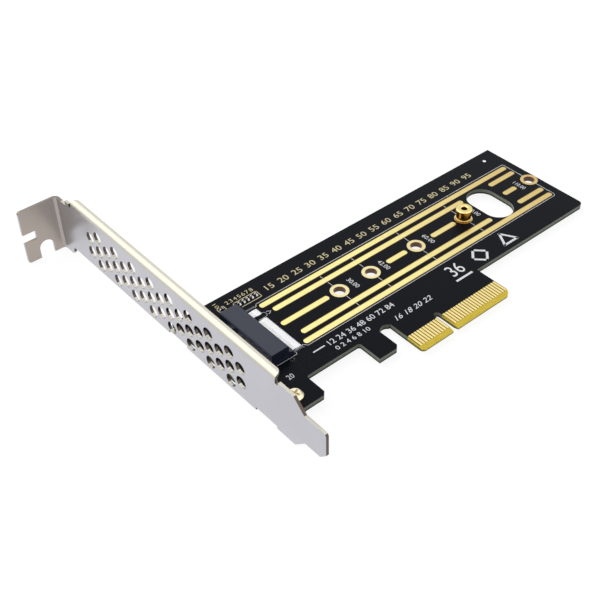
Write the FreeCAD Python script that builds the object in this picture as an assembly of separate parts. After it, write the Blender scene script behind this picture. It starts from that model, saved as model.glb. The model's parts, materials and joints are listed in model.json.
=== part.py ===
import FreeCAD, Part
import math
import os

# Adapter card that carries a slim solid-state drive in an expansion slot.
# Millimetres. The origin lies on the board's component face, on the drive's centre line,
# where an inserted drive's edge stops. +X runs along the drive towards its screw, away from
# the bracket. +Y points away from the gold fingers. +Z leaves the component face.

# circuit board
board_thickness = 1.6
board_far_y = 20.05
board_near_y = -19.1
board_end_x = 112.9
board_corner = 1.6
foot_end_x = 1.6
foot_low_y = -27.0
hook_x = 19.9
hook_width = 7.1
hook_low_y = -27.0
lug_chamfer = 1.0
inner_corner = 0.8

# edge fingers
key_x = 43.2
key_width = 1.9
key_depth = 8.0
short_side = 11.15
long_side = 21.15
finger_edge_y = -32.0
finger_slot_width = 4.1
finger_corner = 2.2
bevel_depth = 1.5
bevel_edge = 0.6
pad_width = 0.7
pad_length = 4.8
pad_low_y = -30.5
pad_pitch = 1.0
pads_short_side = 11
pads_long_side = 21
key_to_pad = 1.5

# copper left bare and plated with gold
copper = 0.06
strip_width = 2.0
strip_left = 9.25
strip_left_inset = 11.25
strip_right = 109.5
strip_right_inset = 86.0
strip_far_left = 98.3
strip_middle_y = 0.1
strip_y_outer = 9.35
strip_y_inner = 5.95
centre_strips = ((9.2, 26.0), (48.4, 56.1), (66.5, 76.5), (98.3, 103.8))

# drive holes and the oval cut-out
drive_lengths = (30.0, 42.0, 60.0, 80.0, 110.0)
post_at = 80.0
drive_hole_radius = 1.75
barrel_wall = 0.17
ring_radius = 2.75
oval_x = 91.7
oval_width = 9.8
oval_length = 16.1
oval_y = -0.15

# drive post, screwed through its hole and held by a nut
post_height = 3.8
collar_radius = 2.5
collar_height = 1.2
collar_chamfer = 0.3
neck_radius = 2.25
post_foot_height = 0.5
post_bore_radius = 0.9
post_countersink = 0.25
stud_clearance = 0.05
nut_width = 5.5
nut_height = 1.6
nut_chamfer = 0.35

# bracket, one folded sheet
sheet = 0.86
bracket_length = 120.02
bracket_width = 18.42
bracket_x = -13.87
bracket_gap = 0.4
tongue_end_y = -44.3
tongue_width = 9.55
tongue_z = 1.15
tongue_length = 7.6
tongue_nose = 2.2
tongue_corner = 1.0
shoulder_length = 3.8
flange_inner_radius = 0.7
flange_reach = 2.25
flange_from_tongue = 18.3
flange_to_neck = 3.25
flange_corner = 1.6
relief = 1.2
relief_depth = 0.9
tab_reach = 12.35
tab_inner_radius = 1.0
tab_drop = 3.15
tab_neck_length = 4.6
tab_corner = 0.9
neck_hollow = 1.1
neck_corner = 2.0
screw_slot_radius = 2.3
screw_slot_from_plate = 5.75
screw_slot_depth = 5.4
notch_width = 3.1
notch_depth = 4.1
notch_z = 1.6

# vent holes, staggered rows
vent_radius = 1.9
vent_sides = 18
vent_pitch = 5.0
vent_end_margin = 8.0
vent_first_y = -12.1
vent_middle_z = 5.4

# bracket lugs and their screws
lug_ys = (-21.9, 15.8)
lug_screw_ys = (-22.6, 16.5)
lug_width = 6.7
lug_inner_radius = 0.3
lug_nick = 0.8
lug_corner = 1.4
lug_screw_x = -5.2
lug_end_margin = 2.9
screw_radius = 1.2
thread_clearance = 0.05
board_hole_clearance = 0.25
head_radius = 2.3
head_height = 1.5
head_rim = 0.75
head_slope = 0.7
recess_length = 2.7
recess_width = 0.62
recess_depth = 0.95
recess_taper = 0.5
recess_turn = 20.0
quarter_turn = 90.0
screw_tip = 0.6

# drive socket
socket_end_wall = 0.9
socket_height = 4.2
socket_back_x = -3.1
socket_front_x = 2.7
jaw_front_x = 4.4
jaw_top_z = 1.3
jaw_under_z = 0.4
jaw_foot_x = 3.4
edge_bevel = 0.3
mouth_low_z = 2.05
mouth_high_z = 3.25
mouth_back_x = -0.1
mouth_end_margin = 0.8
mouth_lead = 0.35
drive_key_width = 1.0
contact_pitch = 0.5
contact_width = 0.22
contact_metal = 0.15
contact_play = 0.06
contacts_before_key = 29
contacts_in_key = 4
contacts_total = 38
channel_margin = 0.25
upper_run_z = 3.55
upper_drop_x = -2.4
lower_run_z = 1.75
lower_drop_x = 0.35
tail_front_x = 7.6
tail_back_x = -4.3
peg_radius = 0.5
peg_length = 1.2
peg_clearance = 0.08
peg_x = 0.5
peg_inset = 0.65
clip_width = 0.6
clip_sheet = 0.3
clip_x = 1.9
clip_height = 2.6
clip_foot_end_x = 8.0
clip_inset = 0.65
clip_clearance = 0.03

# tinned pads
solder_pad = 0.04
tail_pad_width = 0.42
tail_pad_reach = 0.25
front_pad_back_x = 5.2
back_pad_front_x = -3.2
clip_pad_margin = 0.15
test_spot = (107.2, 16.3)
test_spot_radius = 0.55

# small chip parts: length, width, height, metal end
chip_size = (1.0, 0.5, 0.45, 0.25)
chip_gap = 0.1
chip_row_y = 14.1
chip_row_first_x = 5.75
chip_row_pitch = 1.45
chip_row_count = 5
resistor_size = (1.0, 0.5, 0.35, 0.2)
resistor_at = (0.75, 15.6)
lamp_size = (1.6, 0.8, 0.6, 0.3)
lamp_at = (-8.2, -16.6)

# worked out from the sizes above
board_back_z = -board_thickness
board_start_x = bracket_x + sheet + bracket_gap
tab_left_x = key_x - key_width / 2 - short_side
tab_right_x = key_x + key_width / 2 + long_side
bracket_low_z = board_back_z - sheet
bracket_high_z = bracket_low_z + bracket_width
flange_radius = flange_inner_radius + sheet
lug_outer_radius = lug_inner_radius + sheet
bend_line_z = bracket_high_z - flange_radius
bracket_top_y = tongue_end_y + bracket_length
tab_y = bracket_top_y - sheet
tab_low_z = bracket_low_z - tab_drop
tab_high_z = bracket_high_z - tab_drop
neck_start_y = tab_y - tab_inner_radius - tab_neck_length
tab_end_x = bracket_x - tab_reach
flange_near_y = tongue_end_y + flange_from_tongue
flange_far_y = neck_start_y - flange_to_neck
vent_column_pitch = vent_pitch * math.sin(math.radians(60))
vent_columns = 1 + int((flange_far_y - vent_end_margin - vent_first_y) / vent_column_pitch)
contact_first_y = -(contacts_total - 1) * contact_pitch / 2
drive_key_y = contact_first_y + (contacts_before_key + (contacts_in_key - 1) / 2) * contact_pitch
mouth_length = (contacts_total - 1) * contact_pitch + 2 * mouth_end_margin
socket_length = mouth_length + 2 * socket_end_wall
pad_top = solder_pad

X = FreeCAD.Vector(1, 0, 0)
Y = FreeCAD.Vector(0, 1, 0)
Z = FreeCAD.Vector(0, 0, 1)


def vector(x, y, z):
    return FreeCAD.Vector(x, y, z)


def box(x0, x1, y0, y1, z0, z1):
    return Part.makeBox(x1 - x0, y1 - y0, z1 - z0, vector(x0, y0, z0))


def cylinder(radius, x, y, z0, z1):
    return Part.makeCylinder(radius, z1 - z0, vector(x, y, z0), Z)


def prism(points, travel):
    """Closed outline of points, pushed along travel."""
    return Part.Face(Part.makePolygon(points + points[:1])).extrude(travel)


def fused(shapes):
    return shapes[0].multiFuse(shapes[1:]).removeSplitter()


def turned(outline, x, y):
    """Solid of revolution about the upright axis at x, y; outline is a list of (radius, z)."""
    points = [vector(x + r, y, z) for r, z in outline]
    return Part.Face(Part.makePolygon(points + points[:1])).revolve(vector(x, y, 0), Z, 360)


def oval(x0, x1, y0, y1, z0, z1):
    """Plate with two half-round ends, on its longer direction."""
    if x1 - x0 >= y1 - y0:
        r = (y1 - y0) / 2
        ends = (vector(x0 + r, y0 + r, z0), vector(x1 - r, y0 + r, z0))
        side = vector(0, r, 0)
        tip = vector(r, 0, 0)
    else:
        r = (x1 - x0) / 2
        ends = (vector(x0 + r, y0 + r, z0), vector(x0 + r, y1 - r, z0))
        side = vector(-r, 0, 0)
        tip = vector(0, r, 0)
    first, last = ends
    edges = [
        Part.LineSegment(first - side, last - side).toShape(),
        Part.Arc(last - side, last + tip, last + side).toShape(),
        Part.LineSegment(last + side, first + side).toShape(),
        Part.Arc(first + side, first - tip, first - side).toShape(),
    ]
    return Part.Face(Part.Wire(edges)).extrude(vector(0, 0, z1 - z0))


def edges_along(shape, direction, spots):
    """Straight edges along direction that pass through one of the spots."""
    found = []
    for edge in shape.Edges:
        if len(edge.Vertexes) != 2:
            continue
        start, end = edge.Vertexes[0].Point, edge.Vertexes[1].Point
        if (end - start).cross(direction).Length > 1e-6:
            continue
        for spot in spots:
            if (start - spot).cross(direction).Length < 1e-4:
                found.append(edge)
                break
    return found


def save(name, shape):
    shape.exportStep(f"parts/{name}.step")


def contact_rows():
    """Places across the drive of the socket's contacts, the key left out."""
    places = []
    for index in range(contacts_total):
        if not contacts_before_key <= index < contacts_before_key + contacts_in_key:
            places.append(contact_first_y + index * contact_pitch)
    return places


def lower_contact_places():
    return contact_rows()


def upper_contact_places():
    half = contact_pitch / 2
    return [y + half for y in contact_rows()[:-1]]


def finger_places():
    """Centres of the edge contacts along X, on both sides of the key."""
    near = [key_x - key_to_pad - index * pad_pitch for index in range(pads_short_side)]
    far = [key_x + key_to_pad + index * pad_pitch for index in range(pads_long_side)]
    return near + far


def circuit_board():
    slot_left = tab_left_x - finger_slot_width
    z0 = board_back_z
    body = box(board_start_x, board_end_x, board_near_y, board_far_y, z0, 0)
    foot = prism([
        vector(board_start_x, foot_low_y, z0),
        vector(foot_end_x - lug_chamfer, foot_low_y, z0),
        vector(foot_end_x, foot_low_y + lug_chamfer, z0),
        vector(foot_end_x, board_near_y, z0),
        vector(board_start_x, board_near_y, z0),
    ], Z * board_thickness)
    hook = prism([
        vector(hook_x, hook_low_y, z0),
        vector(hook_x + hook_width - lug_chamfer, hook_low_y, z0),
        vector(hook_x + hook_width, hook_low_y + lug_chamfer, z0),
        vector(hook_x + hook_width, board_near_y, z0),
        vector(hook_x, board_near_y, z0),
    ], Z * board_thickness)
    fingers = box(tab_left_x, tab_right_x, finger_edge_y, board_near_y, z0, 0)
    board = fused([body, foot, hook, fingers])
    board = board.makeFillet(finger_corner, edges_along(board, Z, [vector(tab_right_x, finger_edge_y, z0)]))
    board = board.makeFillet(board_corner, edges_along(board, Z, [vector(board_end_x, board_near_y, z0)]))
    board = board.makeFillet(inner_corner, edges_along(board, Z, [
        vector(foot_end_x, board_near_y, z0), vector(hook_x, board_near_y, z0)]))
    board = board.makeChamfer(bevel_edge, edges_along(board, Z, [vector(tab_left_x, finger_edge_y, z0)]))
    # round-ended slot beside the hook, and the key notch
    r = finger_slot_width / 2
    cuts = [cylinder(r, slot_left + r, board_near_y - r + inner_corner, z0, 0)]
    cuts.append(box(slot_left, tab_left_x, finger_edge_y, board_near_y - r + inner_corner, z0, 0))
    k = key_width / 2
    key_top_y = finger_edge_y + key_depth
    cuts.append(cylinder(k, key_x, key_top_y - k, z0, 0))
    cuts.append(box(key_x - k, key_x + k, finger_edge_y, key_top_y - k, z0, 0))
    # bevel on both faces of the finger edge
    drop = (board_thickness - bevel_edge) / 2
    for face_z, inwards in ((0, -1), (z0, 1)):
        wedge = [
            vector(tab_left_x, finger_edge_y, face_z),
            vector(tab_left_x, finger_edge_y + bevel_depth, face_z),
            vector(tab_left_x, finger_edge_y, face_z + inwards * drop),
        ]
        cuts.append(prism(wedge, X * (tab_right_x - tab_left_x)))
    # holes
    for x in drive_lengths:
        cuts.append(cylinder(drive_hole_radius + barrel_wall, x, 0, z0, 0))
    for y in lug_screw_ys:
        cuts.append(cylinder(screw_radius + board_hole_clearance, lug_screw_x, y, z0, 0))
    for y in peg_places():
        cuts.append(cylinder(peg_radius + peg_clearance, peg_x, y, z0, 0))
    half = oval_width / 2
    cuts.append(oval(oval_x - half, oval_x + half, oval_y - oval_length / 2, oval_y + oval_length / 2, z0, 0))
    for cut in cuts:
        board = board.cut(cut)
    return board.removeSplitter()


def heat_strips():
    half = strip_width / 2
    runs = []
    for side in (1, -1):
        outer_y = strip_middle_y + side * strip_y_outer
        inner_y = strip_middle_y + side * strip_y_inner
        runs.append((strip_left, strip_right, outer_y))
        runs.append((strip_left_inset, strip_right_inset, inner_y))
        runs.append((strip_far_left, strip_right, inner_y))
    for x0, x1 in centre_strips:
        runs.append((x0, x1, strip_middle_y))
    return Part.makeCompound([oval(x0, x1, y - half, y + half, 0, copper) for x0, x1, y in runs])


def hole_platings():
    """Plated eyelets: a ring on each face joined by the barrel in the hole."""
    bore = drive_hole_radius
    wall = drive_hole_radius + barrel_wall
    eyelets = []
    for x in drive_lengths:
        eyelets.append(turned([
            (bore, board_back_z - copper), (ring_radius, board_back_z - copper),
            (ring_radius, board_back_z), (wall, board_back_z), (wall, 0),
            (ring_radius, 0), (ring_radius, copper), (bore, copper)], x, 0))
    return Part.makeCompound(eyelets)


def edge_contacts(z0):
    half = pad_width / 2
    return Part.makeCompound([
        box(x - half, x + half, pad_low_y, pad_low_y + pad_length, z0, z0 + copper)
        for x in finger_places()])


def plate():
    """Flat of the bracket, from the tongue's end to the top fold, with its outline."""
    tongue_high_z = tongue_z + tongue_width
    tongue_root_y = tongue_end_y + tongue_length
    shoulder_y = tongue_root_y + shoulder_length
    neck_end_y = tab_y - tab_inner_radius
    step_y = flange_far_y + relief
    outline = [
        (tongue_end_y, tongue_z + tongue_nose),
        (tongue_end_y + tongue_nose, tongue_z),
        (tongue_root_y, tongue_z),
        (shoulder_y, bracket_low_z),
        (neck_start_y, bracket_low_z),
        (neck_start_y, tab_low_z),
        (neck_end_y, tab_low_z),
        (neck_end_y, tab_high_z),
        (neck_start_y, tab_high_z),
        (neck_start_y, bend_line_z),
        (step_y, bend_line_z),
        (step_y, bend_line_z - relief_depth),
        (flange_far_y, bend_line_z - relief_depth),
        (flange_far_y, bend_line_z),
        (flange_near_y, bend_line_z),
        (flange_near_y, bend_line_z - relief_depth),
        (flange_near_y - relief, bend_line_z - relief_depth),
        (flange_near_y - relief, bend_line_z),
        (shoulder_y, bend_line_z),
        (tongue_root_y, tongue_high_z),
        (tongue_end_y, tongue_high_z),
    ]
    flat = prism([vector(bracket_x, y, z) for y, z in outline], X * sheet)
    corner = edges_along(flat, X, [vector(bracket_x, tongue_end_y, tongue_high_z)])
    flat = flat.makeFillet(tongue_corner, corner)
    hollow = edges_along(flat, X, [vector(bracket_x, neck_start_y, bracket_low_z)])
    flat = flat.makeFillet(neck_hollow, hollow)
    return flat.makeFillet(neck_corner, edges_along(flat, X, [vector(bracket_x, neck_start_y, tab_low_z)]))


def quarter_bend(centre, inner, start, along):
    """Quarter of a bent sheet about centre; start and along give the first direction and the fold's run."""
    outer = inner + sheet
    turn = along.cross(start)
    turn.normalize()
    middle = (start + turn)
    middle.normalize()
    edges = [
        Part.LineSegment(centre + start * inner, centre + start * outer).toShape(),
        Part.Arc(centre + start * outer, centre + middle * outer, centre + turn * outer).toShape(),
        Part.LineSegment(centre + turn * outer, centre + turn * inner).toShape(),
        Part.Arc(centre + turn * inner, centre + middle * inner, centre + start * inner).toShape(),
    ]
    return Part.Face(Part.Wire(edges)).extrude(along)


def flange():
    """Stiffening flange along the component side, with its bend and rounded ends."""
    run = flange_far_y - flange_near_y
    centre = vector(bracket_x + flange_radius, flange_near_y, bend_line_z)
    bend = quarter_bend(centre, flange_inner_radius, vector(-1, 0, 0), Y * run)
    end_x = bracket_x + flange_reach
    leaf = box(centre.x, end_x, flange_near_y, flange_far_y, bracket_high_z - sheet, bracket_high_z)
    shape = fused([bend, leaf])
    keep = box(bracket_x, end_x, flange_near_y, flange_far_y, bend_line_z, bracket_high_z)
    corners = edges_along(keep, Z, [vector(end_x, flange_near_y, 0), vector(end_x, flange_far_y, 0)])
    return shape.common(keep.makeFillet(flange_corner, corners))


def top_tab():
    """Bent tab that is screwed to the chassis, with its screw slot and guide notch."""
    tall = tab_high_z - tab_low_z
    centre = vector(bracket_x - tab_inner_radius, tab_y - tab_inner_radius, tab_low_z)
    bend = quarter_bend(centre, tab_inner_radius, vector(1, 0, 0), Z * tall)
    leaf = box(tab_end_x, centre.x, tab_y, bracket_top_y, tab_low_z, tab_high_z)
    corners = edges_along(leaf, Y, [vector(tab_end_x, 0, tab_low_z), vector(tab_end_x, 0, tab_high_z)])
    leaf = leaf.makeFillet(tab_corner, corners)
    slot_x = bracket_x - screw_slot_from_plate
    slot_z = tab_low_z + screw_slot_depth - screw_slot_radius
    r = screw_slot_radius
    round_end = Part.makeCylinder(r, sheet, vector(slot_x, tab_y, slot_z), Y)
    mouth = box(slot_x - r, slot_x + r, tab_y, bracket_top_y, tab_low_z, slot_z)
    notch = box(tab_end_x, tab_end_x + notch_depth, tab_y, bracket_top_y, notch_z, notch_z + notch_width)
    return fused([bend, leaf.cut(round_end).cut(mouth).cut(notch)])


def lug(y, screw_y):
    """Lug folded in under the board, with a tapped hole."""
    y0 = y - lug_width / 2
    centre = vector(bracket_x + lug_outer_radius, y0 + lug_width, bracket_low_z + lug_outer_radius)
    bend = quarter_bend(centre, lug_inner_radius, vector(-1, 0, 0), Y * -lug_width)
    end_x = lug_screw_x + lug_end_margin
    leaf = box(centre.x, end_x, y0, y0 + lug_width, bracket_low_z, board_back_z)
    corners = edges_along(leaf, Z, [vector(end_x, y0, 0), vector(end_x, y0 + lug_width, 0)])
    leaf = leaf.makeFillet(lug_corner, corners)
    hole = cylinder(screw_radius + thread_clearance, lug_screw_x, screw_y, bracket_low_z, board_back_z)
    return fused([bend, leaf.cut(hole)])


def vent_holes():
    """The many small vents, each with a few flat sides to keep the bracket's mesh light."""
    step = 2 * math.pi / vent_sides
    rim = [vector(0, vent_radius * math.cos(k * step), vent_radius * math.sin(k * step)) for k in range(vent_sides)]
    holes = []
    for index in range(vent_columns):
        rows = (-0.5, 0.5) if index % 2 == 0 else (-1, 0, 1)
        for row in rows:
            spot = vector(bracket_x, vent_first_y + index * vent_column_pitch, vent_middle_z + row * vent_pitch)
            holes.append(prism([spot + point for point in rim], X * sheet))
    return Part.makeCompound(holes)


def io_bracket():
    flat = plate().cut(vent_holes())
    for y in lug_ys:
        # the lug's own stretch of the flat ends at its bend line, with a nick at each side
        y0, y1 = y - lug_width / 2, y + lug_width / 2
        x0, x1 = bracket_x, bracket_x + sheet
        flat = flat.cut(box(x0, x1, y0, y1, bracket_low_z, bracket_low_z + lug_outer_radius))
        for side in (y0 - lug_nick, y1):
            flat = flat.cut(box(x0, x1, side, side + lug_nick, bracket_low_z, bracket_low_z + relief_depth))
    return fused([flat, flange(), top_tab()] + [lug(*ys) for ys in zip(lug_ys, lug_screw_ys)])


def pan_head_screw(x, y):
    length = board_thickness + sheet + screw_tip
    body = turned([
        (0, -length), (screw_radius, -length), (screw_radius, 0), (head_radius, 0), (head_radius, head_rim),
        (head_radius - head_slope, head_height), (0, head_height)], x, y)
    for turn in (recess_turn, recess_turn + quarter_turn):
        wires = []
        for scale, z in ((1.0, head_height), (recess_taper, head_height - recess_depth)):
            a, b = recess_length / 2 * scale, recess_width / 2 * scale
            corners = [vector(x + i, y + j, z) for i, j in ((-a, -b), (a, -b), (a, b), (-a, b))]
            wires.append(Part.makePolygon(corners + corners[:1]))
        arm = Part.makeLoft(wires, True, True)
        arm.rotate(vector(x, y, 0), Z, turn)
        body = body.cut(arm)
    return body


def bracket_screws():
    return Part.makeCompound([pan_head_screw(lug_screw_x, y) for y in lug_screw_ys])


def peg_places():
    reach = socket_length / 2 - peg_inset
    return (-reach, reach)


def clip_places():
    reach = socket_length / 2 - clip_inset
    return (-reach, reach)


def across(outline, y0, y1):
    """Outline of (x, z) points, pushed across the drive from y0 to y1."""
    return prism([vector(x, y0, z) for x, z in outline], Y * (y1 - y0))


def channel_spans():
    """Stretches across the drive that hold contacts, on both sides of the key rib."""
    end = contact_first_y + (contacts_total - 1) * contact_pitch + channel_margin
    rib = drive_key_width / 2
    return ((contact_first_y - channel_margin, drive_key_y - rib), (drive_key_y + rib, end))


def socket_housing():
    half = socket_length / 2
    body = across([
        (socket_back_x, 0), (socket_back_x, socket_height - edge_bevel),
        (socket_back_x + edge_bevel, socket_height), (socket_front_x - edge_bevel, socket_height),
        (socket_front_x, socket_height - edge_bevel), (socket_front_x, mouth_low_z),
        (jaw_front_x, jaw_top_z), (jaw_front_x, jaw_under_z), (jaw_foot_x, jaw_under_z),
        (jaw_foot_x, 0)], -half, half)
    mouth = across([
        (mouth_back_x, mouth_low_z), (mouth_back_x, mouth_high_z),
        (socket_front_x - mouth_lead, mouth_high_z), (socket_front_x, mouth_high_z + mouth_lead),
        (jaw_front_x, mouth_high_z + mouth_lead), (jaw_front_x, mouth_low_z)],
        -mouth_length / 2, mouth_length / 2)
    rib = box(mouth_back_x, socket_front_x, drive_key_y - drive_key_width / 2,
              drive_key_y + drive_key_width / 2, mouth_low_z, mouth_high_z)
    body = body.cut(mouth.cut(rib))
    wall = contact_metal / 2 + contact_play
    for y0, y1 in channel_spans():
        upper = across([
            (socket_back_x, 0), (socket_back_x, pad_top + 2 * wall),
            (upper_drop_x - wall, pad_top + 2 * wall), (upper_drop_x - wall, upper_run_z + wall),
            (socket_front_x - 2 * mouth_lead, upper_run_z + wall),
            (socket_front_x - 2 * mouth_lead, mouth_high_z), (mouth_back_x, mouth_high_z),
            (mouth_back_x, upper_run_z - wall), (upper_drop_x + wall, upper_run_z - wall),
            (upper_drop_x + wall, 0)], y0, y1)
        lower = across([
            (lower_drop_x - wall, 0), (lower_drop_x - wall, mouth_low_z),
            (socket_front_x - mouth_lead, mouth_low_z), (socket_front_x - mouth_lead, lower_run_z - wall),
            (lower_drop_x + wall, lower_run_z - wall), (lower_drop_x + wall, jaw_under_z),
            (jaw_foot_x, jaw_under_z), (jaw_foot_x, 0)], y0, y1)
        body = body.cut(upper).cut(lower)
    for y in clip_places():
        gap = clip_clearance
        body = body.cut(box(clip_x - clip_sheet - gap, clip_x + gap, y - clip_width / 2 - gap,
                            y + clip_width / 2 + gap, 0, clip_height + gap))
        body = body.cut(box(clip_x - clip_sheet, jaw_foot_x, y - clip_width / 2 - gap,
                            y + clip_width / 2 + gap, 0, pad_top + clip_sheet + gap))
    pegs = [cylinder(peg_radius, peg_x, y, -peg_length, 0) for y in peg_places()]
    return fused([body] + pegs)


def strip_outline(path, thickness):
    """Outline of a thin strip that follows path, a list of (x, z), with mitred bends."""
    half = thickness / 2
    sides = ([], [])
    for index, (x, z) in enumerate(path):
        before = path[max(index - 1, 0)]
        after = path[min(index + 1, len(path) - 1)]
        first = math.atan2(z - before[1], x - before[0]) if index else None
        last = math.atan2(after[1] - z, after[0] - x) if index < len(path) - 1 else first
        if first is None:
            first = last
        lean = math.cos((last - first) / 2)
        angle = (first + last) / 2 + math.pi / 2
        for side, sign in zip(sides, (1, -1)):
            reach = sign * half / lean
            side.append((x + reach * math.cos(angle), z + reach * math.sin(angle)))
    return sides[0] + sides[1][::-1]


def row_of_contacts(path, places):
    outline = strip_outline(path, contact_metal)
    half = contact_width / 2
    return Part.makeCompound([across(outline, y - half, y + half) for y in places])


def socket_upper_contacts():
    foot_z = pad_top + contact_metal / 2
    hook_z = mouth_high_z - contact_metal
    tip_x = socket_front_x - 3 * mouth_lead
    return row_of_contacts([
        (tail_back_x, foot_z), (upper_drop_x, foot_z), (upper_drop_x, upper_run_z),
        (tip_x - 2 * mouth_lead, upper_run_z), (tip_x - mouth_lead / 2, hook_z),
        (tip_x + mouth_lead / 2, hook_z + mouth_lead / 2)], upper_contact_places())


def socket_lower_contacts():
    foot_z = pad_top + contact_metal / 2
    hook_z = mouth_low_z + contact_metal
    tip_x = socket_front_x - 3 * mouth_lead
    return row_of_contacts([
        (tail_front_x, foot_z), (lower_drop_x, foot_z), (lower_drop_x, lower_run_z),
        (tip_x - 2 * mouth_lead, lower_run_z), (tip_x - mouth_lead / 2, hook_z),
        (tip_x + mouth_lead / 2, hook_z - mouth_lead / 2)], lower_contact_places())


def socket_hold_downs():
    clips = []
    for y in clip_places():
        y0, y1 = y - clip_width / 2, y + clip_width / 2
        post = box(clip_x - clip_sheet, clip_x, y0, y1, pad_top, clip_height)
        foot = box(clip_x - clip_sheet, clip_foot_end_x, y0, y1, pad_top, pad_top + clip_sheet)
        clips.append(fused([post, foot]))
    return Part.makeCompound(clips)


def solder_pads():
    half = tail_pad_width / 2
    pads = []
    for y in lower_contact_places():
        pads.append(box(front_pad_back_x, tail_front_x + tail_pad_reach, y - half, y + half, 0, pad_top))
    for y in upper_contact_places():
        pads.append(box(tail_back_x - tail_pad_reach, back_pad_front_x, y - half, y + half, 0, pad_top))
    for y in clip_places():
        m = clip_pad_margin
        pads.append(box(jaw_front_x + m, clip_foot_end_x + m, y - clip_width / 2, y + clip_width / 2 + m, 0, pad_top))
    for size, (x, y), upright in small_parts():
        length, width, height, metal = size
        for end in (-1, 1):
            reach = end * (length - metal) / 2
            a, b = metal / 2 + chip_gap, width / 2
            cx, cy = (x, y + reach) if upright else (x + reach, y)
            dx, dy = (b, a) if upright else (a, b)
            pads.append(box(cx - dx, cx + dx, cy - dy, cy + dy, 0, pad_top))
    pads.append(cylinder(test_spot_radius, test_spot[0], test_spot[1], 0, pad_top))
    return Part.makeCompound(pads)


def small_parts():
    """Every chip part: its size, its centre, and whether it lies along Y."""
    return chip_row() + [(resistor_size, resistor_at, False), (lamp_size, lamp_at, True)]


def chip_row():
    return [(chip_size, (chip_row_first_x + index * chip_row_pitch, chip_row_y), True)
            for index in range(chip_row_count)]


def chip_pieces(parts):
    """Bodies and metal ends of chip parts, standing on their pads."""
    bodies, ends = [], []
    for size, (x, y), upright in parts:
        length, width, height, metal = size
        lo, hi = -length / 2, length / 2
        for a, b, group in ((lo, lo + metal, ends), (lo + metal, hi - metal, bodies), (hi - metal, hi, ends)):
            if upright:
                group.append(box(x - width / 2, x + width / 2, y + a, y + b, pad_top, pad_top + height))
            else:
                group.append(box(x + a, x + b, y - width / 2, y + width / 2, pad_top, pad_top + height))
    return Part.makeCompound(bodies), Part.makeCompound(ends)


def stud_radius():
    return drive_hole_radius - stud_clearance


def stud_low_z():
    return board_back_z - copper - nut_height


def drive_post():
    x = post_at
    base = copper
    top = base + post_height
    body = turned([
        (post_bore_radius, stud_low_z()), (stud_radius(), stud_low_z()), (stud_radius(), base),
        (collar_radius, base), (collar_radius, base + post_foot_height),
        (neck_radius, base + post_foot_height), (neck_radius, top - collar_height),
        (collar_radius, top - collar_height), (collar_radius, top - collar_chamfer),
        (collar_radius - collar_chamfer, top), (post_bore_radius + post_countersink, top),
        (post_bore_radius, top - post_countersink)], x, 0)
    return body


def post_nut():
    top = board_back_z - copper
    low = top - nut_height
    across_corners = nut_width / math.cos(math.pi / 6)
    corners = [vector(post_at + across_corners / 2 * math.cos(math.radians(60 * k + 30)),
                      across_corners / 2 * math.sin(math.radians(60 * k + 30)), low) for k in range(6)]
    nut = prism(corners, Z * nut_height)
    r = across_corners / 2
    c = nut_chamfer
    crown = turned([(0, low), (r - c, low), (r, low + c), (r, top), (0, top)], post_at, 0)
    bore = cylinder(stud_radius() + stud_clearance, post_at, 0, low, top)
    return nut.common(crown).cut(bore)


def build():
    os.makedirs("parts", exist_ok=True)
    save("circuit_board", circuit_board())
    save("heat_strips", heat_strips())
    save("hole_platings", hole_platings())
    save("edge_contacts_front", edge_contacts(0))
    save("edge_contacts_back", edge_contacts(board_back_z - copper))
    save("io_bracket", io_bracket())
    save("bracket_screws", bracket_screws())
    save("socket_housing", socket_housing())
    save("socket_upper_contacts", socket_upper_contacts())
    save("socket_lower_contacts", socket_lower_contacts())
    save("socket_hold_downs", socket_hold_downs())
    save("solder_pads", solder_pads())
    save("drive_post", drive_post())
    save("post_nut", post_nut())
    for name, parts in (
            ("capacitor", chip_row()),
            ("resistor", [(resistor_size, resistor_at, False)]),
            ("lamp", [(lamp_size, lamp_at, True)])):
        bodies, ends = chip_pieces(parts)
        save(f"{name}_body", bodies)
        save(f"{name}_ends", ends)


build()
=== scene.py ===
import json
import math

import bmesh
import bpy
from mathutils import Matrix, Vector


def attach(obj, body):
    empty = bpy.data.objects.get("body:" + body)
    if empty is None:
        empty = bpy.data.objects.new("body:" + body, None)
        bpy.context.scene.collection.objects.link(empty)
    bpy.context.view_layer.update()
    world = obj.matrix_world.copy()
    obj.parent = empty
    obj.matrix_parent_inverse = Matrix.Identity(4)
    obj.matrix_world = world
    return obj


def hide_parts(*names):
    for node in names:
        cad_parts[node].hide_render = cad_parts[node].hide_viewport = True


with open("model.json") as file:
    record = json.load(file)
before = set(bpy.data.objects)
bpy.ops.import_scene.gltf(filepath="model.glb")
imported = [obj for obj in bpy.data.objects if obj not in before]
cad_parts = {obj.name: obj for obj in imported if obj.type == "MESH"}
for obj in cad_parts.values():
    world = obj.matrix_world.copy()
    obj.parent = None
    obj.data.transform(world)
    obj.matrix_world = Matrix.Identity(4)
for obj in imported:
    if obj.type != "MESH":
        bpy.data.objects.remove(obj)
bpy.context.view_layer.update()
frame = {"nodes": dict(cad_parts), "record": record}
nodes = frame["nodes"]
print("frame loaded with", len(nodes), "nodes")

millimetre = 0.001


# Small helpers for colours and shader nodes

# sRGB hex to the linear colour that the shaders want
def hexColour(text):
    parts = [int(text[i:i + 2], 16) / 255 for i in (1, 3, 5)]
    linear = [c / 12.92 if c <= 0.04045 else ((c + 0.055) / 1.055) ** 2.4 for c in parts]
    return (*linear, 1.0)


# one node with its settings, its own values and the sockets that feed it
def addNode(tree, kind, settings=None, values=None, links=None):
    node = tree.nodes.new(kind)
    for name, value in (settings or {}).items():
        setattr(node, name, value)
    for name, value in (values or {}).items():
        node.inputs[name].default_value = value
    for name, source in (links or {}).items():
        tree.links.new(source, node.inputs[name])
    return node


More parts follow.
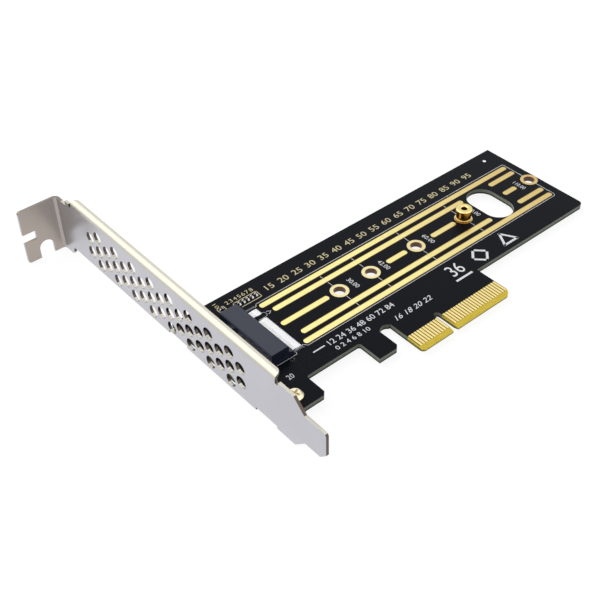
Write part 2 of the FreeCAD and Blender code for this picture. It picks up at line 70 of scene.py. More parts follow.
# a named material with its shader and the coordinates that its patterns read
def startMaterial(name, roughness, metallic=0.0, **sockets):
    material = bpy.data.materials.new(name)
    material.use_nodes = True
    tree = material.node_tree
    shader = tree.nodes["Principled BSDF"]
    shader.inputs["Roughness"].default_value = roughness
    shader.inputs["Metallic"].default_value = metallic
    for socket, value in sockets.items():
        shader.inputs[socket.replace("_", " ")].default_value = value
    place = addNode(tree, "ShaderNodeTexCoord")
    return material, tree, shader, place


# cloudy change between two colours; size is the real width of a cloud in millimetres
def mottle(tree, place, size, dark, light, stretch=(1, 1, 1)):
    scale = [s / (size * millimetre) for s in stretch]
    mapping = addNode(tree, "ShaderNodeMapping", values={"Scale": scale}, links={"Vector": place})
    noise = addNode(tree, "ShaderNodeTexNoise", values={"Scale": 1.0, "Detail": 3.0},
                    links={"Vector": mapping.outputs["Vector"]})
    mix = addNode(tree, "ShaderNodeMix", settings={"data_type": "RGBA"},
                  links={"Factor": noise.outputs["Fac"]})
    mix.inputs["A"].default_value = hexColour(dark)
    mix.inputs["B"].default_value = hexColour(light)
    return noise, mix.outputs["Result"]


# bump from a pattern; depth is in millimetres
def roughen(tree, shader, height, strength, depth):
    bump = addNode(tree, "ShaderNodeBump", values={"Strength": strength, "Distance": depth * millimetre},
                   links={"Height": height})
    tree.links.new(bump.outputs["Normal"], shader.inputs["Normal"])


# roughness that follows a pattern
def spread(tree, shader, height, low, high):
    ranged = addNode(tree, "ShaderNodeMapRange", values={"To Min": low, "To Max": high},
                     links={"Value": height})
    tree.links.new(ranged.outputs["Result"], shader.inputs["Roughness"])


# 1 where every test holds; a test is a place or a direction, its axis, the side of the limit that it
# asks for, and the limit
def where(tree, *tests):
    held = None
    for source, axis, side, limit in tests:
        parts = addNode(tree, "ShaderNodeSeparateXYZ", links={"Vector": source})
        test = addNode(tree, "ShaderNodeMath", settings={"operation": side}, values={1: limit},
                       links={0: parts.outputs[axis]})
        if held is not None:
            test = addNode(tree, "ShaderNodeMath", settings={"operation": "MULTIPLY"},
                           links={0: held, 1: test.outputs["Value"]})
        held = test.outputs["Value"]
    return held


# one colour laid over another by a share from 0 to 1; the upper one may be plain hex
def layOver(tree, share, under, over):
    mix = addNode(tree, "ShaderNodeMix", settings={"data_type": "RGBA"}, links={"Factor": share, "A": under})
    if isinstance(over, str):
        mix.inputs["B"].default_value = hexColour(over)
    else:
        tree.links.new(over, mix.inputs["B"])
    return mix.outputs["Result"]


# Materials, each named for what the real one is

board = {  # millimetres
    "fingerTop": -25.8, "fingerLeft": 31.0, "fingerRight": 65.4, "bevelTop": -30.5,
    "edgeSplit": -1.05, "tipSplit": -0.8, "maskGrain": 0.9, "fibre": 0.35, "resin": 0.5,
}


def makeSoldermask():
    # glass-fibre laminate: black lacquer on the faces, grey-green cut edges whose lower part is darkened as
    # painted shade, amber bare laminate round the fingers and a raw yellow bevel with painted olive shade
    # along its lower lip
    material, tree, shader, place = startMaterial("blackSoldermaskOnLaminate", 0.32, Specular_IOR_Level=0.065)
    spot = place.outputs["Object"]
    facing = place.outputs["Normal"]
    plies = (1, 1, 4)
    drawn = (0.3, 1, 1)
    grain, mask = mottle(tree, spot, board["maskGrain"], "#06080e", "#0d1018")
    edgeHigh = mottle(tree, spot, board["fibre"], "#63685c", "#8b9082", stretch=plies)[1]
    shadedEdgeLow = mottle(tree, spot, board["fibre"], "#1c1d18", "#3a3c33", stretch=plies)[1]
    amber = mottle(tree, spot, board["resin"], "#62470e", "#85631b", stretch=drawn)[1]
    bevel = mottle(tree, spot, board["resin"], "#cdb334", "#e8d45c", stretch=drawn)[1]
    shadedBevelLip = mottle(tree, spot, board["resin"], "#5f5f2c", "#76763a", stretch=drawn)[1]

    def beyond(axis, side, limit):
        return spot, axis, side, board[limit] * millimetre

    onFinger = (beyond("Y", "LESS_THAN", "fingerTop"), beyond("X", "GREATER_THAN", "fingerLeft"),
                beyond("X", "LESS_THAN", "fingerRight"))
    onBevel = (*onFinger, beyond("Y", "LESS_THAN", "bevelTop"))
    onEdge = ((facing, "Z", "LESS_THAN", 0.3), (facing, "Z", "GREATER_THAN", -0.3))
    face = layOver(tree, where(tree, *onFinger), mask, amber)
    face = layOver(tree, where(tree, *onBevel), face, bevel)
    # the bevel's lower lip is coloured olive: painted shade
    tip = layOver(tree, where(tree, beyond("Z", "LESS_THAN", "tipSplit")), bevel, shadedBevelLip)
    # below edgeSplit the cut edge takes darker colours: painted shade
    edge = layOver(tree, where(tree, beyond("Z", "LESS_THAN", "edgeSplit")), edgeHigh, shadedEdgeLow)
    edge = layOver(tree, where(tree, *onFinger), edge, tip)
    tree.links.new(layOver(tree, where(tree, *onEdge), face, edge), shader.inputs["Base Color"])
    roughen(tree, shader, grain.outputs["Fac"], 0.12, 0.01)
    return material


strips = {  # millimetres
    "middle": 0.1, "outer": 9.35, "inner": 5.95, "edgeStart": 0.72, "edgeEnd": 0.98,
    "deepFrom": 45.0, "deepTo": 118.0, "ripple": 1.6, "grain": 0.25,
}


def makeImmersionGold(name, edged, low, high):
    # gold flash over nickel and copper: pale and bright, with a painted dimmer reflection towards the drive's
    # far end; strips get painted shade where the lacquer steps up to them, and the barrels of the holes are a
    # dull plating painted deep amber as shade
    material, tree, shader, place = startMaterial(name, 0.26, metallic=1.0)
    spot = place.outputs["Object"]
    facing = place.outputs["Normal"]
    amber = "#6e4526"
    ripple, colour = mottle(tree, spot, strips["ripple"], low, high)
    # darker gold blended in along X towards the far end: painted reflection
    dimReflection = mottle(tree, spot, strips["ripple"], "#ccae6c", "#dcc283")[1]
    at = addNode(tree, "ShaderNodeSeparateXYZ", links={"Vector": spot})
    reflectionFade = addNode(tree, "ShaderNodeMapRange", links={"Value": at.outputs["X"]},
                         values={"From Min": strips["deepFrom"] * millimetre,
                                 "From Max": strips["deepTo"] * millimetre})
    colour = layOver(tree, reflectionFade.outputs["Result"], colour, dimReflection)

    def distanceFrom(value, centre):
        off = addNode(tree, "ShaderNodeMath", settings={"operation": "SUBTRACT"},
                      values={1: strips[centre] * millimetre}, links={0: value})
        return addNode(tree, "ShaderNodeMath", settings={"operation": "ABSOLUTE"},
                       links={0: off.outputs["Value"]}).outputs["Value"]

    if edged:
        offset = distanceFrom(at.outputs["Y"], "middle")
        nearest = offset
        for row in ("outer", "inner"):
            nearest = addNode(tree, "ShaderNodeMath", settings={"operation": "MINIMUM"},
                              links={0: nearest, 1: distanceFrom(offset, row)}).outputs["Value"]
        # dark amber along the strips' borders at the lacquer step: painted shade
        stepShade = addNode(tree, "ShaderNodeMapRange", links={"Value": nearest},
                      values={"From Min": strips["edgeStart"] * millimetre,
                              "From Max": strips["edgeEnd"] * millimetre})
        colour = layOver(tree, stepShade.outputs["Result"], colour, amber)
    else:
        # the barrel walls are coloured dark amber: painted shade inside the bores, over a less metallic
        # plating
        inBarrel = where(tree, (facing, "Z", "LESS_THAN", 0.5), (facing, "Z", "GREATER_THAN", -0.5))
        colour = layOver(tree, inBarrel, colour, amber)
        sheen = addNode(tree, "ShaderNodeMapRange", values={"To Min": 1.0, "To Max": 0.15},
                        links={"Value": inBarrel})
        tree.links.new(sheen.outputs["Result"], shader.inputs["Metallic"])
    tree.links.new(colour, shader.inputs["Base Color"])
    fine = addNode(tree, "ShaderNodeTexNoise", links={"Vector": spot},
                   values={"Scale": 1 / (strips["grain"] * millimetre), "Detail": 2.0})
    spread(tree, shader, ripple.outputs["Fac"], 0.2, 0.34)
    roughen(tree, shader, fine.outputs["Fac"], 0.15, 0.01)
    return material


def makeFingerGold():
    # hard gold of the edge contacts: harder, smoother and a little deeper than the flash
    material, tree, shader, place = startMaterial("hardGoldFingers", 0.24, metallic=1.0)
    wear, colour = mottle(tree, place.outputs["Object"], 1.2, "#f1d883", "#faeaa9", stretch=(1, 0.25, 1))
    tree.links.new(colour, shader.inputs["Base Color"])
    spread(tree, shader, wear.outputs["Fac"], 0.16, 0.34)
    return material


bracket = {  # millimetres; the rolling lines are drawn coarser than real ones, so that they show
    "tabFrom": 72.0, "cloud": 14.0, "rollingLine": (0.11111, 3.84615, 0.11111),
}


def makeNickelSteel():
    # rolled sheet steel, bright nickel plate: soft satin with a fine rolling grain along the bracket, a
    # painted ivory highlight on what faces up, painted taupe shade on the tab's inner side and painted dark
    # shade on the vents' punched walls and near the tab's fold
    material, tree, shader, place = startMaterial("nickelPlatedSheetSteel", 0.4, metallic=1.0)
    spot = place.outputs["Object"]
    facing = place.outputs["Normal"]
    cloud, colour = mottle(tree, spot, bracket["cloud"], "#b8b8be", "#c7c7cd")
    scale = [1 / (width * millimetre) for width in bracket["rollingLine"]]
    grain = addNode(tree, "ShaderNodeMapping", values={"Scale": scale}, links={"Vector": spot})
    lines = addNode(tree, "ShaderNodeTexNoise", values={"Scale": 1.0, "Detail": 2.0},
                    links={"Vector": grain.outputs["Vector"]})
    onTab = (spot, "Y", "GREATER_THAN", bracket["tabFrom"] * millimetre)
    upward = (facing, "Z", "GREATER_THAN", 0.25)
    inward = (facing, "Y", "LESS_THAN", -0.6)
    # upward faces lighter ivory: painted highlight
    colour = layOver(tree, where(tree, upward), colour, "#c3c0b3")
    # upward faces on the tab greyer: painted shade by the fold
    colour = layOver(tree, where(tree, upward, onTab), colour, "#857d76")
    # faces turned towards -Y dark: painted shade on the vents' punched walls
    colour = layOver(tree, where(tree, inward), colour, "#5b524b")
    # the tab's inner side, turned towards -Y, taupe: painted shade
    colour = layOver(tree, where(tree, inward, onTab), colour, "#aaa199")
    tree.links.new(colour, shader.inputs["Base Color"])
    spread(tree, shader, cloud.outputs["Fac"], 0.26, 0.36)
    roughen(tree, shader, lines.outputs["Fac"], 0.08, 0.01)
    return material


def makeYellowZinc():
    # yellow-passivated screw steel: cream gold with faint rainbow clouds
    material, tree, shader, place = startMaterial("yellowZincScrewSteel", 0.3, metallic=1.0)
    cloud, colour = mottle(tree, place.outputs["Object"], 1.4, "#dccfae", "#efe6cc")
    tree.links.new(colour, shader.inputs["Base Color"])
    spread(tree, shader, cloud.outputs["Fac"], 0.2, 0.38)
    return material


def makeNylon():
    # glass-filled nylon, moulded: slate black with a dry sheen and a spark-eroded grain
    material, tree, shader, place = startMaterial("glassFilledNylon", 0.4, Specular_IOR_Level=0.62,
                                                  Specular_Tint=(0.86, 0.92, 1.0, 1.0))
    grain, colour = mottle(tree, place.outputs["Object"], 0.12, "#080d1c", "#121a32")
    tree.links.new(colour, shader.inputs["Base Color"])
    roughen(tree, shader, grain.outputs["Fac"], 0.25, 0.01)
    return material


def makeTin(name="reflowedTin", dark="#e2e3e4", light="#ffffff", metallic=1.0):
    # tin and solder after reflow: white metal, softly wrinkled
    material, tree, shader, place = startMaterial(name, 0.28, metallic=metallic)
    grain, colour = mottle(tree, place.outputs["Object"], 0.4, dark, light)
    tree.links.new(colour, shader.inputs["Base Color"])
    spread(tree, shader, grain.outputs["Fac"], 0.26, 0.44)
    roughen(tree, shader, grain.outputs["Fac"], 0.12, 0.01)
    return material


def makeTurnedBrass():
    # free-cutting brass from a lathe: warm amber with a paler top as painted highlight, with fine tool rings
    material, tree, shader, place = startMaterial("turnedBrass", 0.26, metallic=1.0)
    spot = place.outputs["Object"]
    cloud, colour = mottle(tree, spot, 2.5, "#94642a", "#bf9149")
    upward = where(tree, (place.outputs["Normal"], "Z", "GREATER_THAN", 0.5))
    rings = addNode(tree, "ShaderNodeTexWave", settings={"wave_type": "BANDS", "bands_direction": "Z"},
                    values={"Scale": 1 / (0.16 * millimetre), "Distortion": 0.6}, links={"Vector": spot})
    # upward faces paler gold: painted highlight
    tree.links.new(layOver(tree, upward, colour, "#e9d690"), shader.inputs["Base Color"])
    spread(tree, shader, cloud.outputs["Fac"], 0.18, 0.36)
    roughen(tree, shader, rings.outputs["Fac"], 0.15, 0.008)
    return material


# Print on the component face: frame lines, plain numbers and plain marks. Boxes of figures run from their
# lower left to their upper right corner

ink = {  # millimetres; turns are in degrees
    "creamFrom": 12.0, "thickness": 0.02, "line": 0.16, "thin": 0.15, "frame": 0.24, "bold": 0.75,
    "frameFar": [(5.75, 10.3), (8.5, 10.3), (9.1, 11.1), (110.1, 11.1), (110.1, 2.9)],
    "frameNear": [(-1.8, -11.3), (5.0, -11.3), (5.7, -9.7), (8.5, -9.6), (9.3, -10.7), (109.5, -10.7),
                  (110.1, -10.1), (110.1, -2.9)],
    "keyMark": (5.75, 8.0, 6.3, 0.95), "keySteps": 8, "chevron": [(9.4, 6.9), (10.5, 6.25), (9.4, 5.6)],
    "chipFrame": [(3.9, 14.5), (4.7, 15.4), (12.5, 15.4), (12.5, 12.65), (5.75, 12.65)],
    "cornerFrame": [(0.3, 14.75), (-0.35, 14.75), (-0.35, 16.5), (0.3, 16.5)],
    "cornerFrameRight": [(1.2, 14.75), (1.85, 14.75), (1.85, 16.5), (1.2, 16.5)],
    "ringTicks": ((2.95, 4.8), (7.1, 8.2), (-4.7, -2.95), (-8.1, -7.0)),
    "drives": (30, 42, 60, 80, 110), "driveLabelX": (35.15, 47.0, 65.1, 84.8, 105.45),
    "driveLabel": (0.75, 2.25),
    "scale": (15, 95, 5), "scaleHalf": 1.75, "scaleShift": 1.6, "scaleY": (13.35, 15.5),
    "rowFigures": (3.4, 1.4, 7), "rowFigureHalf": 0.5, "rowFigureY": (16.1, 17.5),
    "cornerFigures": ("10", (-0.25, 16.7), (0.9, 18.7)), "footFigures": ("20", (-2.5, -17.3), (-0.6, -15.6)),
    "spot": ((2.85, -12.0), 0.5, 16), "dash": ((8.7, -13.7), (12.3, -13.7), 0.42),
    "upperRow": ("12 24 36 48 60 72 84", (13.8, -14.7), (37.3, -12.8)),
    "lowerRow": ("0 2 4 6 8 10", (13.8, -17.3), (26.1, -15.8)),
    "leaningRow": ("16 18 20 22", (33.5, -19.5), (47.3, -17.7)), "lean": 0.35, "sideways": -90,
    "number": ("36", (58.2, -17.2), (63.2, -12.6)), "numberBar": ((57.6, -18.8), (63.3, -18.8), 0.7),
    "diamond": ((70.8, -15.2), 2.9, 4), "triangle": ((82.3, -15.4), 3.1, 3),
}


def makePrintInk():
    # screen-printed epoxy ink: matte white, cream along the far edge, with a slightly broken edge
    material, tree, shader, place = startMaterial("whiteEpoxyInk", 0.6)
    spot = place.outputs["Object"]
    grain, colour = mottle(tree, spot, 0.3, "#c4c6ca", "#eaecf0")
    cream = mottle(tree, spot, 0.3, "#b3a983", "#d9cfa8")[1]
    farRow = where(tree, (spot, "Y", "GREATER_THAN", ink["creamFrom"] * millimetre))
    tree.links.new(layOver(tree, farRow, colour, cream), shader.inputs["Base Color"])
    roughen(tree, shader, grain.outputs["Fac"], 0.3, 0.01)
    return material


def makeCeramic(name, dark, light, roughness):
    # sintered ceramic: dense, dull, with a fine speckle
    material, tree, shader, place = startMaterial(name, roughness)
    grain, colour = mottle(tree, place.outputs["Object"], 0.15, dark, light)
    tree.links.new(colour, shader.inputs["Base Color"])
    roughen(tree, shader, grain.outputs["Fac"], 0.2, 0.005)
    return material


def makeLampResin():
    # clear epoxy over the lamp's die: pale, slightly see-through, glossy
    material, tree, shader, place = startMaterial("clearLampEpoxy", 0.12, Transmission_Weight=0.35)
    grain, colour = mottle(tree, place.outputs["Object"], 0.5, "#b9c49a", "#dfe6c8")
    tree.links.new(colour, shader.inputs["Base Color"])
    spread(tree, shader, grain.outputs["Fac"], 0.08, 0.18)
    return material


soldermask = makeSoldermask()
stripGold = makeImmersionGold("immersionGoldStrips", True, "#f4e690", "#fff5b0")
ringGold = makeImmersionGold("immersionGoldRings", False, "#ebdb9c", "#f7eebf")
fingerGold = makeFingerGold()
nickelSteel = makeNickelSteel()
yellowZinc = makeYellowZinc()
nylon = makeNylon()
tin = makeTin()
solder = makeTin("reflowedSolder", "#e4e7ec", "#ffffff", 0.35)
agedTin = makeTin("agedTinOnBronze", "#4b4c50", "#77797d")
turnedBrass = makeTurnedBrass()
printInk = makePrintInk()
capacitorCeramic = makeCeramic("bariumTitanate", "#5a4030", "#7d6350", 0.5)
resistorCeramic = makeCeramic("blackGlazedAlumina", "#0d0d0e", "#1d1d1f", 0.35)
lampResin = makeLampResin()
print("materials made")

clothing = {
    "circuit_board": soldermask, "heat_strips": stripGold, "hole_platings": ringGold,
    "edge_contacts_front": fingerGold, "edge_contacts_back": fingerGold, "io_bracket": nickelSteel,
    "bracket_screws": yellowZinc, "socket_housing": nylon, "socket_upper_contacts": tin,
    "socket_lower_contacts": tin, "socket_hold_downs": agedTin, "solder_pads": solder,
    "drive_post": turnedBrass, "post_nut": turnedBrass, "capacitor_body": capacitorCeramic,
    "capacitor_ends": tin, "resistor_body": resistorCeramic, "resistor_ends": tin,
    "lamp_body": lampResin, "lamp_ends": tin,
}
for node, material in clothing.items():
    mesh = nodes[node].data
    mesh.materials.clear()
    mesh.materials.append(material)


# Pieces are built in millimetres and brought to metres when they are finished

roundedAngle = 32  # degrees between faces, below which the shading runs smoothly over round drops
printedAngle = 20  # and over flat print


def finishPiece(bm, name, material, smoothAngle, scale=millimetre):
    bmesh.ops.scale(bm, vec=(scale, scale, scale), verts=bm.verts)
    bmesh.ops.recalc_face_normals(bm, faces=bm.faces)
    mesh = bpy.data.meshes.new(name)
    bm.to_mesh(mesh)
    bm.free()
    mesh.materials.append(material)
    for face in mesh.polygons:
        face.use_smooth = True
    mesh.set_sharp_from_angle(angle=math.radians(smoothAngle))
    piece = bpy.data.objects.new(name, mesh)
    bpy.context.scene.collection.objects.link(piece)
    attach(piece, "root")
    return piece


softening = {"weld": 0.0005, "flatAngle": 0.4, "cornerAngle": 30, "segments": 2}  # millimetres and degrees


# a solid again, with its sharp edges broken as the real maker leaves them
def softenNode(node, name, width):
    bm = bmesh.new()
    bm.from_mesh(nodes[node].data)
    bmesh.ops.remove_doubles(bm, verts=bm.verts, dist=softening["weld"] * millimetre)
    bmesh.ops.dissolve_limit(bm, angle_limit=math.radians(softening["flatAngle"]), verts=bm.verts,
                             edges=bm.edges)
    piece = finishPiece(bm, name, clothing[node], softening["cornerAngle"], scale=1.0)
    bevel = piece.modifiers.new("brokenEdge", "BEVEL")
    bevel.width = width * millimetre
    bevel.segments = softening["segments"]
    bevel.limit_method = "ANGLE"
    bevel.angle_limit = math.radians(softening["cornerAngle"])
    bevel.harden_normals = True
    bevel.use_clamp_overlap = True
    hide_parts(node)


brokenEdges = {  # millimetres
    "io_bracket": 0.08, "bracket_screws": 0.12, "drive_post": 0.1, "post_nut": 0.1, "socket_housing": 0.08,
    "socket_hold_downs": 0.05, "capacitor_body": 0.03, "capacitor_ends": 0.06, "resistor_body": 0.03,
    "resistor_ends": 0.05, "lamp_body": 0.05, "lamp_ends": 0.05,
}
for record in frame["record"]["subparts"]:
    if record["node"] in brokenEdges:
        words = record["node"].split("_")
        pieceName = words[0] + "".join(word.capitalize() for word in words[1:])
        softenNode(record["node"], pieceName, brokenEdges[record["node"]])
print("edges broken on", len(brokenEdges), "pieces")


# straight stroke of ink or copper on the board's face, from one point to another
def addStroke(bm, start, end, width, height):
    start = Vector(start)
    end = Vector(end)
    run = end - start
    centre = (start + end) / 2
    place = Matrix.Translation((centre.x, centre.y, height / 2))
    place = place @ Matrix.Rotation(math.atan2(run.y, run.x), 4, "Z")
    place = place @ Matrix.Diagonal((run.length + width, width, height, 1.0))
    bmesh.ops.create_cube(bm, size=1.0, matrix=place)


def addPath(bm, points, width, height):
    for start, end in zip(points, points[1:]):
        addStroke(bm, start, end, width, height)


# closed outline with equal sides, the first corner at the top
def addRegular(bm, centre, radius, sides, width, height):
    angles = [math.radians(90 + 360 * k / sides) for k in range(sides + 1)]
    corners = [(centre[0] + radius * math.cos(a), centre[1] + radius * math.sin(a)) for a in angles]
    addPath(bm, corners, width, height)


figureType = {"extrude": 0.01, "widest": 1.15, "curveSteps": 3}  # widest: the most that they are stretched


# plain figures from the built-in type, as a mesh, fitted between two corners
def addFigures(bm, text, low, high, depth, turn=0.0, lean=0.0):
    curve = bpy.data.curves.new("figures", "FONT")
    curve.body = text
    curve.shear = lean
    curve.extrude = figureType["extrude"]
    curve.resolution_u = figureType["curveSteps"]
    lettering = bpy.data.objects.new("figures", curve)
    mesh = bpy.data.meshes.new_from_object(lettering)
    mesh.transform(Matrix.Rotation(math.radians(turn), 4, "Z"))
    xs = [v.co.x for v in mesh.vertices]
    ys = [v.co.y for v in mesh.vertices]
    wide = (high[0] - low[0]) / (max(xs) - min(xs))
    tall = (high[1] - low[1]) / (max(ys) - min(ys))
    if not turn:
        wide = min(wide, tall * figureType["widest"])
    centre = ((max(xs) + min(xs)) / 2, (max(ys) + min(ys)) / 2)
    mesh.transform(Matrix.Translation((-centre[0], -centre[1], 0)))
    mesh.transform(Matrix.Diagonal((wide, tall, depth / (2 * figureType["extrude"]), 1.0)))
    mesh.transform(Matrix.Translation(((low[0] + high[0]) / 2, (low[1] + high[1]) / 2, depth / 2)))
    bm.from_mesh(mesh)
    bpy.data.meshes.remove(mesh)
    bpy.data.objects.remove(lettering)
    bpy.data.curves.remove(curve)


def printBoard():
    h = ink["thickness"]
    bm = bmesh.new()
    addPath(bm, ink["frameFar"], ink["line"], h)
    addPath(bm, ink["frameNear"], ink["line"], h)
    # key mark of the socket, a slot outline with a round end
    x0, x1, y, r = ink["keyMark"]
    turns = [math.pi * k / ink["keySteps"] for k in range(ink["keySteps"] + 1)]
    arc = [(x1 + r * math.sin(turn), y + r * math.cos(turn)) for turn in turns]
    addPath(bm, [(x0, y + r)] + arc + [(x0, y - r)], ink["thin"], h)
    addPath(bm, ink["chevron"], ink["thin"], h)
    for name in ("chipFrame", "cornerFrame", "cornerFrameRight"):
        addPath(bm, ink[name], ink["frame"], h)
    # ticks at the drive lengths, between the strips and the rings, and their lengths in figures
    for x in ink["drives"][:-1]:
        for low, high in ink["ringTicks"]:
            addStroke(bm, (x, low), (x, high), ink["thin"], h)
    halfX, halfY = ink["driveLabel"]
    for x, length in zip(ink["driveLabelX"], ink["drives"]):
        addFigures(bm, f"{length}.00", (x - halfX, -halfY), (x + halfX, halfY), h, turn=ink["sideways"])
    first, last, step = ink["scale"]
    low, high = ink["scaleY"]
    for length in range(first, last + 1, step):
        x = length + ink["scaleShift"]
        addFigures(bm, str(length), (x - ink["scaleHalf"], low), (x + ink["scaleHalf"], high), h)
    start, pitch, count = ink["rowFigures"]
    low, high = ink["rowFigureY"]
    for index in range(count):
        x = start + index * pitch
        addFigures(bm, str(index + 2), (x - ink["rowFigureHalf"], low), (x + ink["rowFigureHalf"], high), h)
    addFigures(bm, *ink["cornerFigures"], h, turn=ink["sideways"])
    addFigures(bm, *ink["footFigures"], h)
    addRegular(bm, *ink["spot"], ink["frame"], h)
    addStroke(bm, *ink["dash"], h)
    addFigures(bm, *ink["upperRow"], h)
    addFigures(bm, *ink["lowerRow"], h)
    addFigures(bm, *ink["leaningRow"], h, lean=ink["lean"])
    # plain marks: an underlined number, a square on its corner and a triangle
    addFigures(bm, *ink["number"], h)
    addStroke(bm, *ink["numberBar"], h)
    addRegular(bm, *ink["diamond"], ink["bold"], h)
    addRegular(bm, *ink["triangle"], ink["bold"], h)
    finishPiece(bm, "boardPrint", printInk, printedAngle)


printBoard()
print("print laid on the board")


# Copper tracks under the lacquer show as faint ridges between the socket and the fingers

tracks = {  # millimetres
    "height": 0.012, "width": 0.35, "first": -12.0, "pitch": 0.72, "count": 9, "left": -3.0, "right": 24.0,
    "step": 0.5, "reach": 5.0, "rise": 1.0,
}


def layTracks():
    t = tracks
    bm = bmesh.new()
    for index in range(t["count"]):
        y = t["first"] - index * t["pitch"]
        end = t["right"] - index * t["step"]
        addPath(bm, [(t["left"], y), (end, y), (end + t["reach"], y + t["rise"])], t["width"], t["height"])
    finishPiece(bm, "copperTracks", soldermask, printedAngle)


# Solder drawn up round the flat tails and the chip parts

joints = {  # millimetres; drops are given by their length, width and full height
    "sunk": 0.04, "around": 10, "upAndDown": 6, "frontX": 6.95, "frontDrop": (2.3, 0.7, 0.34),
    "backX": -3.95, "backDrop": (0.8, 0.36, 0.24),
    "pitch": 0.5, "first": -9.25, "total": 38, "keyFrom": 29, "keyCount": 4,
    "chipsX": (5.75, 1.45, 5), "chipEnds": (13.55, 14.65), "chipDrop": (0.7, 0.45, 0.5),
}


# low drop of solder, half sunk in its pad
def addPillow(bm, x, y, size):
    place = Matrix.Translation((x, y, joints["sunk"])) @ Matrix.Diagonal((*size, 1.0))
    bmesh.ops.create_uvsphere(bm, u_segments=joints["around"], v_segments=joints["upAndDown"], radius=0.5,
                              matrix=place)


def addSolder():
    j = joints
    bm = bmesh.new()
    rows = [j["first"] + k * j["pitch"] for k in range(j["total"])
            if not j["keyFrom"] <= k < j["keyFrom"] + j["keyCount"]]
    for y in rows:
        addPillow(bm, j["frontX"], y, j["frontDrop"])
    for y in rows[:-1]:
        addPillow(bm, j["backX"], y + j["pitch"] / 2, j["backDrop"])
    first, pitch, count = j["chipsX"]
    for index in range(count):
        for y in j["chipEnds"]:
            addPillow(bm, first + index * pitch, y, j["chipDrop"])
    finishPiece(bm, "solderFillets", solder, roundedAngle)


layTracks()
addSolder()
print("tracks and solder added")


# Stage: floor, light and camera

# 1 for the rays that meet the background itself: from the camera, through clear resin and off metal
def seenRays(tree):
    rays = addNode(tree, "ShaderNodeLightPath")
    seen = rays.outputs["Is Camera Ray"]
    for kind in ("Is Transmission Ray", "Is Glossy Ray"):
        seen = addNode(tree, "ShaderNodeMath", settings={"operation": "ADD", "use_clamp": True},
                       links={0: seen, 1: rays.outputs[kind]}).outputs["Value"]
    return seen


floorSizes = {  # millimetres, apart from the width in metres; the card rests on the three touching points
    "width": 4.0, "tab": (-26.2, 75.7, -5.62), "screw": (-5.2, -22.6, -3.06), "nut": (80.0, -3.2, -3.26),
}


paperLook = {"colour": (0.9, 0.92, 0.96, 1), "strength": 1.05, "share": 0.86}


def makeFloor():
    a, b, c = (Vector(floorSizes[key]) * millimetre for key in ("tab", "screw", "nut"))
    up = (b - a).cross(c - a).normalized()
    if up.z < 0:
        up.negate()
    centre = (a + b + c) / 3
    place = Matrix.Translation(centre) @ Vector((0, 0, 1)).rotation_difference(up).to_matrix().to_4x4()
    bm = bmesh.new()
    bmesh.ops.create_grid(bm, x_segments=1, y_segments=1, size=floorSizes["width"] / 2, matrix=place)
    mesh = bpy.data.meshes.new("floor")
    bm.to_mesh(mesh)
    bm.free()
    # white paper: seen almost as plain white, with a soft shadow of the card
    material = bpy.data.materials.new("whitePaperFloor")
    material.use_nodes = True
    tree = material.node_tree
    tree.nodes.remove(tree.nodes["Principled BSDF"])
    diffuse = addNode(tree, "ShaderNodeBsdfDiffuse", values={"Color": paperLook["colour"]})
    paper = addNode(tree, "ShaderNodeEmission",
                    values={"Color": (1, 1, 1, 1), "Strength": paperLook["strength"]})
    share = addNode(tree, "ShaderNodeMath", settings={"operation": "MULTIPLY"},
                    values={1: paperLook["share"]}, links={0: seenRays(tree)})
    mix = addNode(tree, "ShaderNodeMixShader", links={0: share.outputs["Value"]})
    tree.links.new(diffuse.outputs["BSDF"], mix.inputs[1])
    tree.links.new(paper.outputs["Emission"], mix.inputs[2])
    tree.links.new(mix.outputs["Shader"], tree.nodes["Material Output"].inputs["Surface"])
    mesh.materials.append(material)
    floor = bpy.data.objects.new("floor", mesh)
    bpy.context.scene.collection.objects.link(floor)


studio = {
    "brightSide": (-0.35, 0.94, 0.1), "strength": 1.15,
    "stops": ((0.1, "#56565a"), (0.45, "#7c7c84"), (0.6, "#a69882"), (0.66, "#d8cab0"), (0.72, "#fffefa"),
              (1.0, "#ffffff")),
}


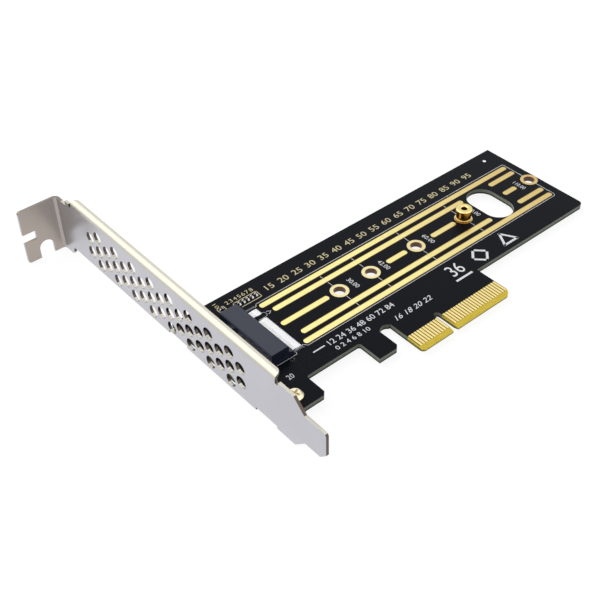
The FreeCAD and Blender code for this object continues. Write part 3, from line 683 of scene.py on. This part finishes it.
def makeWorld():
    # studio round the card: bright behind and above it, warm and dim on the camera's side, white where seen
    world = bpy.data.worlds.new("studio")
    world.use_nodes = True
    tree = world.node_tree
    tree.nodes.clear()
    place = addNode(tree, "ShaderNodeTexCoord")
    towards = addNode(tree, "ShaderNodeVectorMath", settings={"operation": "DOT_PRODUCT"},
                      values={1: studio["brightSide"]}, links={0: place.outputs["Generated"]})
    share = addNode(tree, "ShaderNodeMapRange", values={"From Min": -1.0, "From Max": 1.0},
                    links={"Value": towards.outputs["Value"]})
    ramp = addNode(tree, "ShaderNodeValToRGB", links={"Fac": share.outputs["Result"]})
    stops = ramp.color_ramp.elements
    stops.remove(stops[0])
    for index, (at, colour) in enumerate(studio["stops"]):
        stop = stops[0] if index == 0 else stops.new(at)
        stop.position = at
        stop.color = hexColour(colour)
    soft = addNode(tree, "ShaderNodeBackground", values={"Strength": studio["strength"]},
                   links={"Color": ramp.outputs["Color"]})
    white = addNode(tree, "ShaderNodeBackground", values={"Color": (1, 1, 1, 1), "Strength": 1.0})
    mix = addNode(tree, "ShaderNodeMixShader", links={0: seenRays(tree)})
    tree.links.new(soft.outputs["Background"], mix.inputs[1])
    tree.links.new(white.outputs["Background"], mix.inputs[2])
    addNode(tree, "ShaderNodeOutputWorld", links={"Surface": mix.outputs["Shader"]})
    bpy.context.scene.world = world


def aim(thing, place, target, roll=0.0):
    toTarget = (Vector(target) - Vector(place)).normalized()
    turn = toTarget.to_track_quat("-Z", "Y").to_matrix().to_4x4()
    thing.matrix_world = Matrix.Translation(place) @ turn @ Matrix.Rotation(math.radians(roll), 4, "Z")


softboxes = {  # place in metres and power in watts
    "keySoftbox": ((-0.25, 0.35, 0.55), 3.9), "fillSoftbox": ((0.35, -0.5, 0.45), 1.9),
}
softboxTarget = (0.03, 0.0, 0.0)
softboxWidth = 1.1


def addSoftboxes():
    for name, (place, power) in softboxes.items():
        light = bpy.data.lights.new(name, "AREA")
        light.shape = "RECTANGLE"
        light.size = softboxWidth
        light.size_y = softboxWidth
        light.energy = power
        lamp = bpy.data.objects.new(name, light)
        bpy.context.scene.collection.objects.link(lamp)
        aim(lamp, place, softboxTarget)


view = {  # metres, apart from the roll in degrees and the lens and sensor in millimetres
    "place": (-0.118231, -0.164255, 0.193105), "target": (0.021513, 0.000880, 0.0), "roll": -0.898,
    "lens": 63.32, "sensor": 36.0, "shiftX": -0.02396, "shiftY": 0.00453, "clipStart": 0.01,
}


def makeCamera():
    data = bpy.data.cameras.new("photographCamera")
    data.sensor_width = view["sensor"]
    data.lens = view["lens"]
    data.shift_x = view["shiftX"]
    data.shift_y = view["shiftY"]
    data.clip_start = view["clipStart"]
    camera = bpy.data.objects.new("photographCamera", data)
    bpy.context.scene.collection.objects.link(camera)
    aim(camera, view["place"], view["target"], view["roll"])
    bpy.context.scene.camera = camera


makeFloor()
makeWorld()
addSoftboxes()
makeCamera()
bpy.context.scene.view_settings.view_transform = "Standard"
print("stage, light and camera set")
